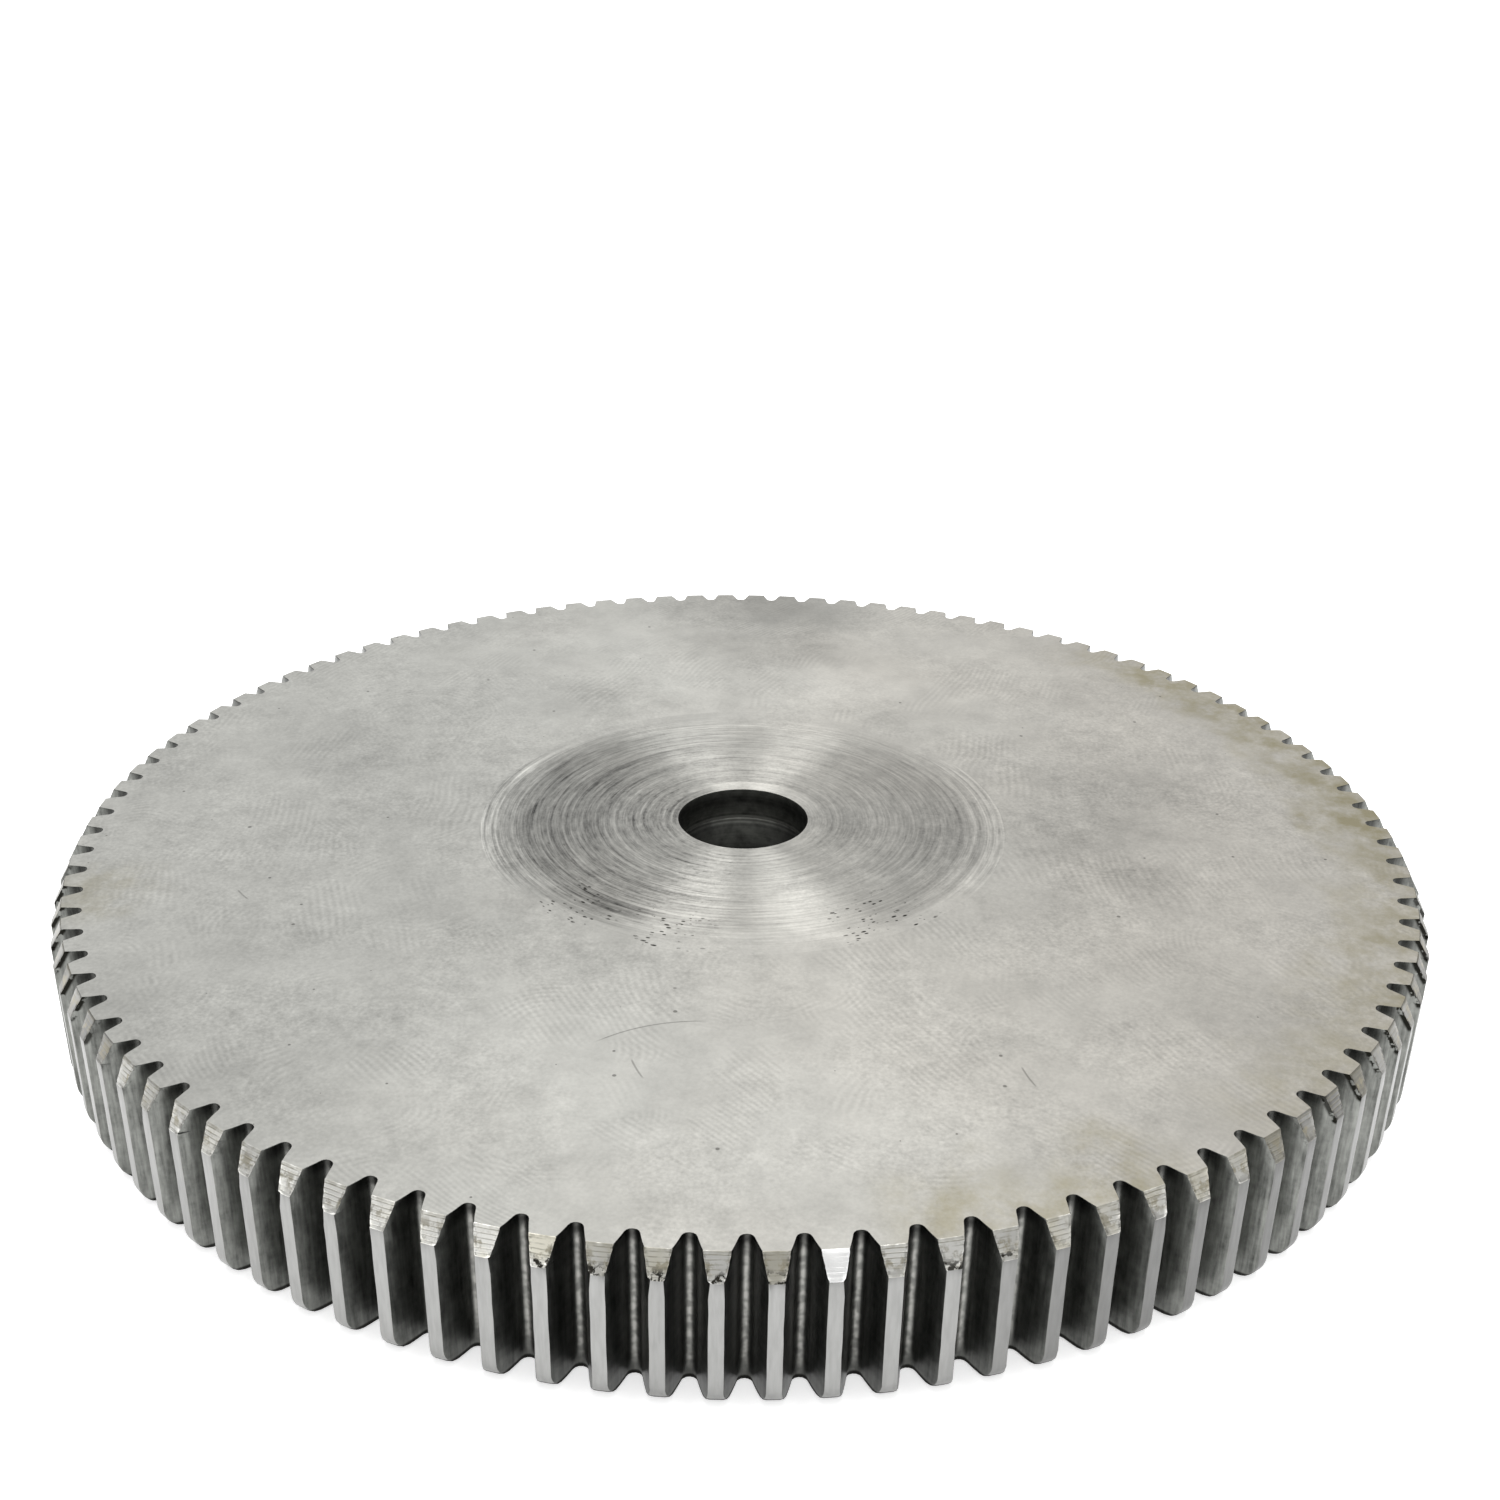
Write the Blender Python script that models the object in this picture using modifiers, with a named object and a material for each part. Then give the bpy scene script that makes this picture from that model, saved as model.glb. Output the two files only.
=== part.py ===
"""Spur gear: a plain steel disc gear of 100 teeth with a through bore, in one solid piece.

Metres, +Z up along the bore's axis. The origin is the centre of the lower face, the
face that the gear lies on. A tooth stands on each of the +X, +Y, -X and -Y axes.
"""

import math

import bmesh
import bpy

# Teeth, in the standard full-depth proportions
MODULE = 0.001
TOOTH_COUNT = 100
PRESSURE_ANGLE = math.radians(20)
ADDENDUM = 1.0 * MODULE
DEDENDUM = 1.25 * MODULE
ROOT_FILLET = 0.30 * MODULE

PITCH_RADIUS = MODULE * TOOTH_COUNT / 2
TIP_RADIUS = PITCH_RADIUS + ADDENDUM
ROOT_RADIUS = PITCH_RADIUS - DEDENDUM
BASE_RADIUS = PITCH_RADIUS * math.cos(PRESSURE_ANGLE)
TOOTH_STEP = 2 * math.pi / TOOTH_COUNT

# The disc: the teeth's upper ends are chamfered, and their lower ends are rounded over
FACE_WIDTH = 0.0105
CHAMFER_HEIGHT = 0.0015
CHAMFER_SLOPE = math.tan(math.radians(30))
ROUND_HEIGHT = 0.0015
ROUND_TURN = math.radians(60)
ROUND_RADIUS = ROUND_HEIGHT / math.sin(ROUND_TURN)

# The bore, with a faint ridge where the cuts from its two ends meet
BORE_RADIUS = 0.005
BORE_RIDGE = 0.00005
BORE_RIDGE_DEPTH = 0.0025
BORE_EDGE = 0.00005

# How finely round shapes are divided
FLANK_POINTS = 4
FILLET_POINTS = 3
ROUND_STEPS = 3
BORE_STEPS = 80

# How far cutters run past what they cut, and the angle above which an edge stays crisp
OVERSHOOT = 0.002
CRISP_EDGE = math.radians(25)


def clear_scene():
    for obj in list(bpy.data.objects):
        bpy.data.objects.remove(obj, do_unlink=True)


def new_collection(name):
    collection = bpy.data.collections.new(name)
    bpy.context.scene.collection.children.link(collection)
    return collection


def ground_steel():
    material = bpy.data.materials.new("ground_steel")
    material.use_nodes = True
    shader = material.node_tree.nodes["Principled BSDF"]
    shader.inputs["Base Color"].default_value = (0.52, 0.52, 0.49, 1)
    shader.inputs["Metallic"].default_value = 1.0
    shader.inputs["Roughness"].default_value = 0.42
    return material


def involute(angle):
    return math.tan(angle) - angle


def half_tooth_angle(radius):
    """Half the angle that a tooth takes up at this radius, by the involute of the base circle."""
    at_pitch = math.pi / (2 * TOOTH_COUNT)
    return at_pitch + involute(PRESSURE_ANGLE) - involute(math.acos(BASE_RADIUS / radius))


def fillet_start():
    """The radius where the root fillet, tangent to the flank and the root circle, meets the flank."""
    radius = ROOT_RADIUS
    for _ in range(20):
        flank_slope = math.acos(BASE_RADIUS / radius)
        radius = ROOT_RADIUS + ROOT_FILLET * (1 - math.sin(flank_slope))
    return radius


def fillet_points():
    """(radius, angle from the tooth's middle) along the fillet, from the flank down to the root."""
    start = fillet_start()
    flank_slope = math.acos(BASE_RADIUS / start)
    reach = ROOT_FILLET * math.cos(flank_slope)
    points = []
    for i in range(1, FILLET_POINTS + 1):
        turn = flank_slope + (math.pi / 2 - flank_slope) * i / FILLET_POINTS
        across = reach - ROOT_FILLET * math.cos(turn)
        radius = ROOT_RADIUS + ROOT_FILLET * (1 - math.sin(turn))
        points.append((radius, half_tooth_angle(start) + across / ROOT_RADIUS))
    return points


def half_tooth_points():
    """(radius, angle from the tooth's middle) from the middle of the tip down to the root."""
    points = [(TIP_RADIUS, 0.0)]
    lowest = fillet_start()
    for i in range(FLANK_POINTS + 1):
        radius = TIP_RADIUS + (lowest - TIP_RADIUS) * i / FLANK_POINTS
        points.append((radius, half_tooth_angle(radius)))
    return points + fillet_points()


def gear_outline():
    """(x, y) all round the gear, anticlockwise from the middle of the tooth on +X."""
    leaving = half_tooth_points()
    arriving = [(radius, -angle) for radius, angle in reversed(leaving[1:])]
    outline = []
    for tooth in range(TOOTH_COUNT):
        middle = tooth * TOOTH_STEP
        for radius, angle in arriving + leaving:
            outline.append((radius * math.cos(middle + angle), radius * math.sin(middle + angle)))
    return outline


def extruded_outline(name, points, low, high, collection):
    """A solid of this flat outline between two heights, as a mesh object."""
    curve = bpy.data.curves.new(name, "CURVE")
    curve.dimensions = "2D"
    curve.fill_mode = "BOTH"
    curve.extrude = (high - low) / 2
    spline = curve.splines.new("POLY")
    spline.points.add(len(points) - 1)
    for spot, (x, y) in zip(spline.points, points):
        spot.co = (x, y, 0, 1)
    spline.use_cyclic_u = True
    drawn = bpy.data.objects.new(name + "_outline", curve)
    drawn.location.z = (high + low) / 2
    collection.objects.link(drawn)
    bpy.context.view_layer.update()
    evaluated = drawn.evaluated_get(bpy.context.evaluated_depsgraph_get())
    mesh = bpy.data.meshes.new_from_object(evaluated)
    weld(mesh)
    solid = bpy.data.objects.new(name, mesh)
    solid.matrix_world = drawn.matrix_world
    collection.objects.link(solid)
    bpy.data.objects.remove(drawn)
    return solid


def weld(mesh):
    work = bmesh.new()
    work.from_mesh(mesh)
    bmesh.ops.remove_doubles(work, verts=work.verts, dist=1e-7)
    bmesh.ops.recalc_face_normals(work, faces=work.faces)
    work.to_mesh(mesh)
    work.free()


def turned(name, profile, steps, collection):
    """A solid of revolution from (radius, height) points, which run from the axis, down, and back to it."""
    mesh = bpy.data.meshes.new(name)
    count = len(profile)
    edges = [(i, i + 1) for i in range(count - 1)]
    mesh.from_pydata([(radius, 0, height) for radius, height in profile], edges, [])
    solid = bpy.data.objects.new(name, mesh)
    collection.objects.link(solid)
    screw = solid.modifiers.new("turn", "SCREW")
    screw.axis = "Z"
    screw.angle = 2 * math.pi
    screw.steps = steps
    screw.render_steps = steps
    screw.use_merge_vertices = True
    screw.merge_threshold = 1e-6
    return solid


def round_points():
    """(radius, height) down the teeth's rounded lower ends, from the tip circle to the lower face."""
    points = []
    for i in range(ROUND_STEPS + 1):
        turn = ROUND_TURN * i / ROUND_STEPS
        inward = ROUND_RADIUS * (1 - math.cos(turn))
        points.append((TIP_RADIUS - inward, ROUND_HEIGHT - ROUND_RADIUS * math.sin(turn)))
    return points


def beyond(end, before):
    """The point past the end of a line, as far again as the line is long."""
    return tuple(2 * e - b for e, b in zip(end, before))


def blank_profile():
    """The turned disc that cuts the teeth's ends. Each tooth lies under one flat facet of it."""
    top = FACE_WIDTH + OVERSHOOT
    narrow = TIP_RADIUS - (CHAMFER_HEIGHT + OVERSHOOT) * CHAMFER_SLOPE
    wide = TIP_RADIUS + OVERSHOOT * CHAMFER_SLOPE
    upper = [(narrow, top), (wide, FACE_WIDTH - CHAMFER_HEIGHT - OVERSHOOT)]
    arc = round_points()
    lower = [beyond(arc[0], arc[1])] + arc + [beyond(arc[-1], arc[-2])]
    over_facets = 1 / math.cos(TOOTH_STEP / 2)
    ring = [(radius * over_facets, height) for radius, height in upper + lower]
    return [(0, top)] + ring + [(0, lower[-1][1])]


def bore_profile():
    """The bore's cutter: broken edges at both faces and the ridge part of the way down."""
    edge = BORE_RADIUS + BORE_EDGE + OVERSHOOT
    ridge = FACE_WIDTH - BORE_RIDGE_DEPTH
    return [
        (0, FACE_WIDTH + OVERSHOOT),
        (edge, FACE_WIDTH + OVERSHOOT),
        (BORE_RADIUS, FACE_WIDTH - BORE_EDGE),
        (BORE_RADIUS, ridge + 4 * BORE_RIDGE),
        (BORE_RADIUS - BORE_RIDGE, ridge),
        (BORE_RADIUS, ridge - BORE_RIDGE),
        (BORE_RADIUS, BORE_EDGE),
        (edge, -OVERSHOOT),
        (0, -OVERSHOOT),
    ]


def add_boolean(solid, name, operation, other):
    boolean = solid.modifiers.new(name, "BOOLEAN")
    boolean.operation = operation
    boolean.solver = "EXACT"
    boolean.object = other


def hide(cutter):
    cutter.hide_render = True
    cutter.display_type = "WIRE"


def shade_round(mesh):
    mesh.shade_smooth()
    mesh.set_sharp_from_angle(angle=CRISP_EDGE)


def spur_gear(parts, cutters, material):
    gear = extruded_outline("spur_gear", gear_outline(), 0, FACE_WIDTH, parts)
    gear.data.materials.append(material)
    shade_round(gear.data)
    blank = turned("chamfered_blank", blank_profile(), TOOTH_COUNT, cutters)
    blank.rotation_euler.z = TOOTH_STEP / 2
    bore = turned("bore_cutter", bore_profile(), BORE_STEPS, cutters)
    for cutter in (blank, bore):
        hide(cutter)
    add_boolean(gear, "tip_chamfers", "INTERSECT", blank)
    add_boolean(gear, "bore", "DIFFERENCE", bore)


def main():
    clear_scene()
    parts = new_collection("spur_gear")
    cutters = new_collection("cutters")
    spur_gear(parts, cutters, ground_steel())


main()
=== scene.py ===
"""Looks of the spur gear: the toothed disc as one fine mesh, its machined steel, and the floor, light and camera."""

import math

import bpy
import numpy as np
from mathutils import Euler, Matrix, Vector


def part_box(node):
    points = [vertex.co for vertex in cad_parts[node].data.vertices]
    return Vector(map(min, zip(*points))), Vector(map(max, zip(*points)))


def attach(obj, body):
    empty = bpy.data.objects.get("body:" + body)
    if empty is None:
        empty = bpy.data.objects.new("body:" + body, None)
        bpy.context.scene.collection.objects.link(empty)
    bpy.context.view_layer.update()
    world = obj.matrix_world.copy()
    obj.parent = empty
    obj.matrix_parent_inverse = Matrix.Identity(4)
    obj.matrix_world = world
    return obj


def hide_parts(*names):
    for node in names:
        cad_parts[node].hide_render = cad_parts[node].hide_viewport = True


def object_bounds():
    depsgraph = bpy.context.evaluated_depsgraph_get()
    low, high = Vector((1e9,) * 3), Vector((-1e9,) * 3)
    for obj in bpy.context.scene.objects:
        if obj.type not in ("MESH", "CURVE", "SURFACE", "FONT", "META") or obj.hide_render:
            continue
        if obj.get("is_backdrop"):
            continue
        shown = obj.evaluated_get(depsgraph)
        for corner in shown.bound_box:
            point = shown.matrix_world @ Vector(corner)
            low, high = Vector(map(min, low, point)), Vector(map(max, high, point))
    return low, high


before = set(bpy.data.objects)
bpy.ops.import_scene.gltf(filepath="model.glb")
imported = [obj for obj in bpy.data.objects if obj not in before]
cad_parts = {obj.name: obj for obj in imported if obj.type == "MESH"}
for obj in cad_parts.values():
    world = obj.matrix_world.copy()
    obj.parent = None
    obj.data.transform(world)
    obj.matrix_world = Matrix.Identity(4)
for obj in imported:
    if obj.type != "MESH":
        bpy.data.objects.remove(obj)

CAD_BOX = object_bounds()
MM = 0.001
MICRON = 0.000001

# The gear's measures, from the CAD box and the standard proportions of its teeth
LOW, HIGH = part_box("spur_gear")
TOOTH_COUNT = 100
TOOTH_STEP = 2 * math.pi / TOOTH_COUNT
TIP_RADIUS = (HIGH.x - LOW.x) / 2
TOP = HIGH.z
MODULE = 2 * TIP_RADIUS / (TOOTH_COUNT + 2)
PITCH_RADIUS = MODULE * TOOTH_COUNT / 2
ROOT_RADIUS = PITCH_RADIUS - 1.25 * MODULE
ROOT_FILLET = 0.38 * MODULE
PRESSURE_ANGLE = math.radians(20)
BASE_RADIUS = PITCH_RADIUS * math.cos(PRESSURE_ANGLE)

# The teeth's chamfered upper ends and rounded lower ends
CHAMFER_HEIGHT = 1.5 * MM
CHAMFER_SLOPE = math.tan(math.radians(30))
CHAMFER_RADIUS = TIP_RADIUS - CHAMFER_HEIGHT * CHAMFER_SLOPE
ROUND_HEIGHT = 1.5 * MM
ROUND_RADIUS = ROUND_HEIGHT / math.sin(math.radians(60))

BORE_RADIUS = 5.0 * MM
BORE_RIDGE = 0.05 * MM
BORE_RIDGE_DEPTH = 2.5 * MM
BORE_EDGE = 0.05 * MM

# Zones of the face: a smooth collar round the bore, then turned rings, whose finish weakens in
# two steps towards their outer edge, then the milled rest. Ring widths are in millimetres
COLLAR_RADIUS = 6.4 * MM
COLLAR_DEPTH = 0.012 * MM
FADE_RADIUS = 17.2 * MM
FAINT_RADIUS = 18.8 * MM
TURNED_RADIUS = 20.3 * MM
RING_DEPTH = 0.008 * MM
RING_WIDTH = 0.14
RING_WIDTH_SPREAD = 0.30
RING_FADE = 6 * MM

# Fine shape of the teeth: a little fuller than standard, with broken edges, turned grooves and knocks
FULLNESS = 0.04 * MM
EDGE = 0.03 * MM
CORNER = 0.03 * MM
LOWER_CORNER = 0.30 * MM
ROOT_ROUNDING = 0.06 * MM
LOWER_FILLET = 0.35 * MM
CHAMFER_GROOVE = 0.012 * MM
CHAMFER_GROOVES = 5
KNOCK = 0.14 * MM
SLIGHT_KNOCK = 0.03 * MM

# Circles that divide the flat face, from the one just inside the teeth inwards
INNER_CIRCLE = 47.6 * MM
PLAIN_CIRCLES = (46.4 * MM, 41 * MM, 35 * MM, 29 * MM, 24 * MM)
FACE_COLUMNS = 2 * TOOTH_COUNT
RANDOM = np.random.default_rng(7)
LAND_LEVELS = 8
CRISP_EDGE = math.radians(50)
LEVEL_TOLERANCE = math.radians(0.1)

MATERIALS = ["milled_face", "turned_face", "turned_fade", "turned_edge", "chamfer", "tooth_tip", "tooth_flank",
             "bore_wall"]


# ---------------------------------------------------------------- the shape of a tooth

def involute(angle):
    return math.tan(angle) - angle


def flank_angle(radius, inset):
    """Half the angle that a tooth takes up at this radius, with its surface set in by this much."""
    at_pitch = math.pi / (2 * TOOTH_COUNT) + FULLNESS / PITCH_RADIUS
    narrowing = involute(math.acos(BASE_RADIUS / radius)) - involute(PRESSURE_ANGLE)
    return at_pitch - narrowing - inset / BASE_RADIUS


def fillet_points(inset, rounder):
    """(radius, angle from the tooth's middle) from the root up to where the fillet meets the flank."""
    root = ROOT_RADIUS - inset
    fillet = ROOT_FILLET + inset + rounder
    start = root
    for _ in range(20):
        slope = math.acos(BASE_RADIUS / start)
        start = root + fillet * (1 - math.sin(slope))
    points = []
    for share in (0, 1 / 3, 2 / 3, 1):
        turn = math.pi / 2 + (slope - math.pi / 2) * share
        across = fillet * (math.cos(slope) - math.cos(turn))
        points.append((root + fillet * (1 - math.sin(turn)), flank_angle(start, inset) + across / root))
    return points


def half_tooth(tip, inset, corner):
    """(radius, angle) up one side of a tooth with this tip radius and rounded corner, without its middle."""
    side = fillet_points(inset, ROOT_ROUNDING * (corner - CORNER) / (LOWER_CORNER - CORNER))
    start = side[-1][0]
    foot = tip - corner
    for share in (1 / 3, 2 / 3):
        radius = start + (foot - start) * share
        side.append((radius, flank_angle(radius, inset)))
    below = (foot, flank_angle(foot, inset))
    point = (tip, flank_angle(tip, inset))
    beside = (tip, point[1] - corner / tip)
    middle = tuple((b + 2 * p + e) / 4 for b, p, e in zip(below, point, beside))
    return side + [below, middle, beside, (tip, beside[1] / 2)]


COLUMNS_PER_TOOTH = 2 * len(half_tooth(TIP_RADIUS, 0.0, CORNER)) + 2
COLUMNS = TOOTH_COUNT * COLUMNS_PER_TOOTH
CORNERS = (7, 8, 9, COLUMNS_PER_TOOTH - 9, COLUMNS_PER_TOOTH - 8, COLUMNS_PER_TOOTH - 7)
LAND = range(CORNERS[1], CORNERS[4])


def outline(tip, inset, corner):
    """Radius and angle of each column of the gear's toothed outline."""
    side = half_tooth(tip, inset, corner)
    tooth = [(ROOT_RADIUS - inset, -TOOTH_STEP / 2)] + [(r, -a) for r, a in side] + [(tip, 0.0)] + side[::-1]
    radius = np.tile([r for r, a in tooth], TOOTH_COUNT)
    angle = (np.arange(TOOTH_COUNT)[:, None] * TOOTH_STEP + [a for r, a in tooth]).ravel()
    return radius, angle


def at(radius, angle, height):
    """Points at these radii and angles, all at one height."""
    return np.stack([radius * np.cos(angle), radius * np.sin(angle), np.full(len(radius), height)], axis=1)


def knocked(radius, angle, depth):
    """Pulls the corners of the teeth in by small uneven amounts, as burrs and knocks leave them."""
    radius = radius.reshape(TOOTH_COUNT, COLUMNS_PER_TOOTH).copy()
    angle = angle.reshape(TOOTH_COUNT, COLUMNS_PER_TOOTH).copy()
    for side, columns in ((1, CORNERS[:3]), (-1, CORNERS[3:])):
        amount = depth * RANDOM.random(TOOTH_COUNT) ** 3
        for column in columns:
            angle[:, column] += side * amount / TIP_RADIUS
            radius[:, column] -= amount / 3
    return radius.ravel(), angle.ravel()


# ---------------------------------------------------------------- the levels down the side

def cone(depth):
    return CHAMFER_RADIUS + depth * CHAMFER_SLOPE


def chamfer_levels():
    """(height, tip, inset, corner, zone) down the broken edge and the chamfer with its turned grooves."""
    levels = []
    for turn in (0, math.pi / 4, math.pi / 2):
        depth, inset = EDGE * (1 - math.cos(turn)), EDGE * (1 - math.sin(turn))
        levels.append((TOP - depth, cone(depth) - inset, inset, CORNER, "chamfer"))
    pitch = (CHAMFER_HEIGHT - EDGE) / CHAMFER_GROOVES
    for i in range(CHAMFER_GROOVES):
        crest = EDGE + pitch * (i + 0.35 + 0.2 * RANDOM.random())
        bottom = crest + pitch * 0.3
        groove = CHAMFER_GROOVE * (0.5 + 0.9 * RANDOM.random())
        levels.append((TOP - crest, cone(crest), 0.0, CORNER, "chamfer"))
        levels.append((TOP - bottom, cone(bottom) - groove, 0.0, CORNER, "chamfer"))
    return levels


def land_levels():
    heights = np.linspace(TOP - CHAMFER_HEIGHT, ROUND_HEIGHT, LAND_LEVELS)
    return [(height, TIP_RADIUS, 0.0, CORNER, "tooth_tip") for height in heights]


def round_levels():
    """Down the rounded lower end, where the whole outline also pulls in and its corners grow rounder."""
    heights = [(height, 0.0) for height in (1.2 * MM, 0.9 * MM, 0.65 * MM)]
    for turn in (0, 20, 40, 60, 75, 90):
        turn = math.radians(turn)
        heights.append((LOWER_FILLET * (1 - math.sin(turn)), LOWER_FILLET * (1 - math.cos(turn))))
    levels = []
    for height, inset in heights:
        slope = math.asin((ROUND_HEIGHT - height) / ROUND_RADIUS)
        tip = TIP_RADIUS - ROUND_RADIUS * (1 - math.cos(slope)) - inset
        corner = LOWER_CORNER + (CORNER - LOWER_CORNER) * height / ROUND_HEIGHT
        levels.append((height, tip, inset, corner, "tooth_tip"))
    return levels


def turned_rings():
    """(radius, depth) of uneven V grooves left by the turning tool, from the outside in."""
    rings = []
    radius = TURNED_RADIUS
    while radius > COLLAR_RADIUS + 0.5 * MM:
        width = (RING_WIDTH + RING_WIDTH_SPREAD * RANDOM.random()) * MM
        fading = min(1, (TURNED_RADIUS - radius) / RING_FADE)
        depth = RING_DEPTH * fading * (0.3 + 1.4 * RANDOM.random() ** 2)
        rings += [(radius, 0.0), (radius - width * (0.35 + 0.3 * RANDOM.random()), depth)]
        radius -= width
    return rings + [(radius, 0.0)]


# ---------------------------------------------------------------- the mesh, loop by loop

class Loops:
    """Collects rows of points and the faces between them, with each face's finish."""

    def __init__(self):
        self.points = []
        self.count = 0
        self.faces = []
        self.finishes = []

    def add(self, points):
        first = self.count
        self.points.append(points)
        self.count += len(points)
        return first

    def circle(self, radius, height):
        angle = -TOOTH_STEP / 2 + np.arange(FACE_COLUMNS) * 2 * math.pi / FACE_COLUMNS
        return self.add(at(np.full(FACE_COLUMNS, radius), angle, height))

    def join(self, upper, lower, columns, finish):
        """Quads between two rows of equal length, seen with the upper row above and the angle growing rightwards."""
        for i in range(columns):
            after = (i + 1) % columns
            self.faces.append((upper + i, lower + i, lower + after, upper + after))
            self.finishes.append(finish(i) if callable(finish) else finish)

    def narrow(self, dense, sparse, upward):
        """Faces from a row with a point for each column of the teeth in to a circle with fewer."""
        share = COLUMNS // FACE_COLUMNS
        for i in range(FACE_COLUMNS):
            many = [dense + (i * share + k) % COLUMNS for k in range(share + 1)]
            face = [sparse + i] + many + [sparse + (i + 1) % FACE_COLUMNS]
            self.faces.append(tuple(face if upward else face[::-1]))
            self.finishes.append("milled_face")


def add_sides(loops):
    rows = []
    for height, tip, inset, corner, zone in chamfer_levels() + land_levels() + round_levels():
        radius, angle = outline(tip, inset, corner)
        tip_line = abs(height - (TOP - CHAMFER_HEIGHT)) < 0.1 * MM
        radius, angle = knocked(radius, angle, KNOCK if tip_line else SLIGHT_KNOCK)
        rows.append((loops.add(at(radius, angle, height)), zone))
    for (upper, zone), (lower, _) in zip(rows, rows[1:]):
        loops.join(upper, lower, COLUMNS, lambda i: zone if i % COLUMNS_PER_TOOTH in LAND else "tooth_flank")
    return rows[0][0], rows[-1][0]


def face_finish(radius):
    """The finish of the ring of faces whose inner circle has this radius."""
    limits = (("turned_face", FADE_RADIUS), ("turned_fade", FAINT_RADIUS), ("turned_edge", TURNED_RADIUS - 0.01 * MM))
    for finish, limit in limits:
        if radius < limit:
            return finish
    return "milled_face"


def add_face(loops, rim, height, upward, rings):
    """One face of the disc, from the teeth in to the bore's edge."""
    _, angle = outline(CHAMFER_RADIUS, 0.0, CORNER)
    dense = loops.add(at(np.full(COLUMNS, INNER_CIRCLE), angle, height))
    side = 1 if upward else -1
    loops.join(*((dense, rim) if upward else (rim, dense)), COLUMNS, "milled_face")
    collar = [(COLLAR_RADIUS, 0.0), (COLLAR_RADIUS - 0.1 * MM, COLLAR_DEPTH), (BORE_RADIUS + BORE_EDGE, COLLAR_DEPTH)]
    previous = None
    for radius, depth in [(radius, 0.0) for radius in PLAIN_CIRCLES] + rings + collar:
        row = loops.circle(radius, height - side * depth)
        if previous is None:
            loops.narrow(dense, row, upward)
        else:
            finish = face_finish(radius)
            loops.join(*((row, previous) if upward else (previous, row)), FACE_COLUMNS, finish)
        previous = row
    return previous


def add_bore(loops, upper, lower):
    """The bore's wall, with the faint ridge part of the way down."""
    ridge = TOP - BORE_RIDGE_DEPTH
    levels = [(0, TOP - COLLAR_DEPTH - BORE_EDGE), (0, TOP - BORE_RIDGE_DEPTH / 2), (0, ridge + 4 * BORE_RIDGE)]
    levels += [(BORE_RIDGE, ridge), (0, ridge - BORE_RIDGE), (0, TOP / 2), (0, COLLAR_DEPTH + BORE_EDGE)]
    rows = [upper] + [loops.circle(BORE_RADIUS - inward, height) for inward, height in levels] + [lower]
    for above, below in zip(rows, rows[1:]):
        loops.join(below, above, FACE_COLUMNS, "bore_wall")


def gear_mesh():
    loops = Loops()
    upper_rim, lower_rim = add_sides(loops)
    rings = turned_rings()
    upper_edge = add_face(loops, upper_rim, TOP, True, rings)
    lower_edge = add_face(loops, lower_rim, 0.0, False, rings[::5])
    add_bore(loops, upper_edge, lower_edge)
    mesh = bpy.data.meshes.new("spur_gear_steel")
    mesh.from_pydata(np.concatenate(loops.points).tolist(), [], loops.faces)
    mesh.polygons.foreach_set("material_index", [MATERIALS.index(finish) for finish in loops.finishes])
    return mesh


def shade(mesh):
    """Smooth over the rounded shapes, crisp along the edges, and flat where a face lies level."""
    mesh.set_sharp_from_angle(angle=CRISP_EDGE)
    normals = np.empty(3 * len(mesh.polygons))
    mesh.polygons.foreach_get("normal", normals)
    level = np.abs(normals[2::3]) > math.cos(LEVEL_TOLERANCE)
    mesh.polygons.foreach_set("use_smooth", ~level)


# ---------------------------------------------------------------- numbers that vary over a surface

class Field:
    """A number or a colour that varies over a surface, with the arithmetic that the materials need."""

    def __init__(self, tree, socket):
        self.tree = tree
        self.socket = socket

    def math(self, operation, *others):
        node = self.tree.nodes.new("ShaderNodeMath")
        node.operation = operation
        for socket, value in zip(node.inputs, (self, *others)):
            feed(self.tree, socket, value)
        return Field(self.tree, node.outputs[0])

    def __add__(self, other):
        return self.math("ADD", other)

    def __sub__(self, other):
        return self.math("SUBTRACT", other)

    def __mul__(self, other):
        return self.math("MULTIPLY", other)

    def __rsub__(self, other):
        return self * -1.0 + other

    def __truediv__(self, other):
        return self.math("DIVIDE", other)

    def step(self, low, high):
        """0 at low, 1 at high, and smooth between. Low may be the larger, which turns it round."""
        node = self.tree.nodes.new("ShaderNodeMapRange")
        node.interpolation_type = "SMOOTHSTEP"
        for name, value in (("Value", self), ("From Min", low), ("From Max", high)):
            feed(self.tree, node.inputs[name], value)
        return Field(self.tree, node.outputs[0])

    def between(self, low, high, soft):
        """1 from low to high, falling to 0 over a soft margin on both sides."""
        return self.step(low - soft, low + soft) * self.step(high + soft, high - soft)


def feed(tree, socket, value):
    if isinstance(value, Field):
        tree.links.new(value.socket, socket)
    else:
        socket.default_value = value


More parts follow.
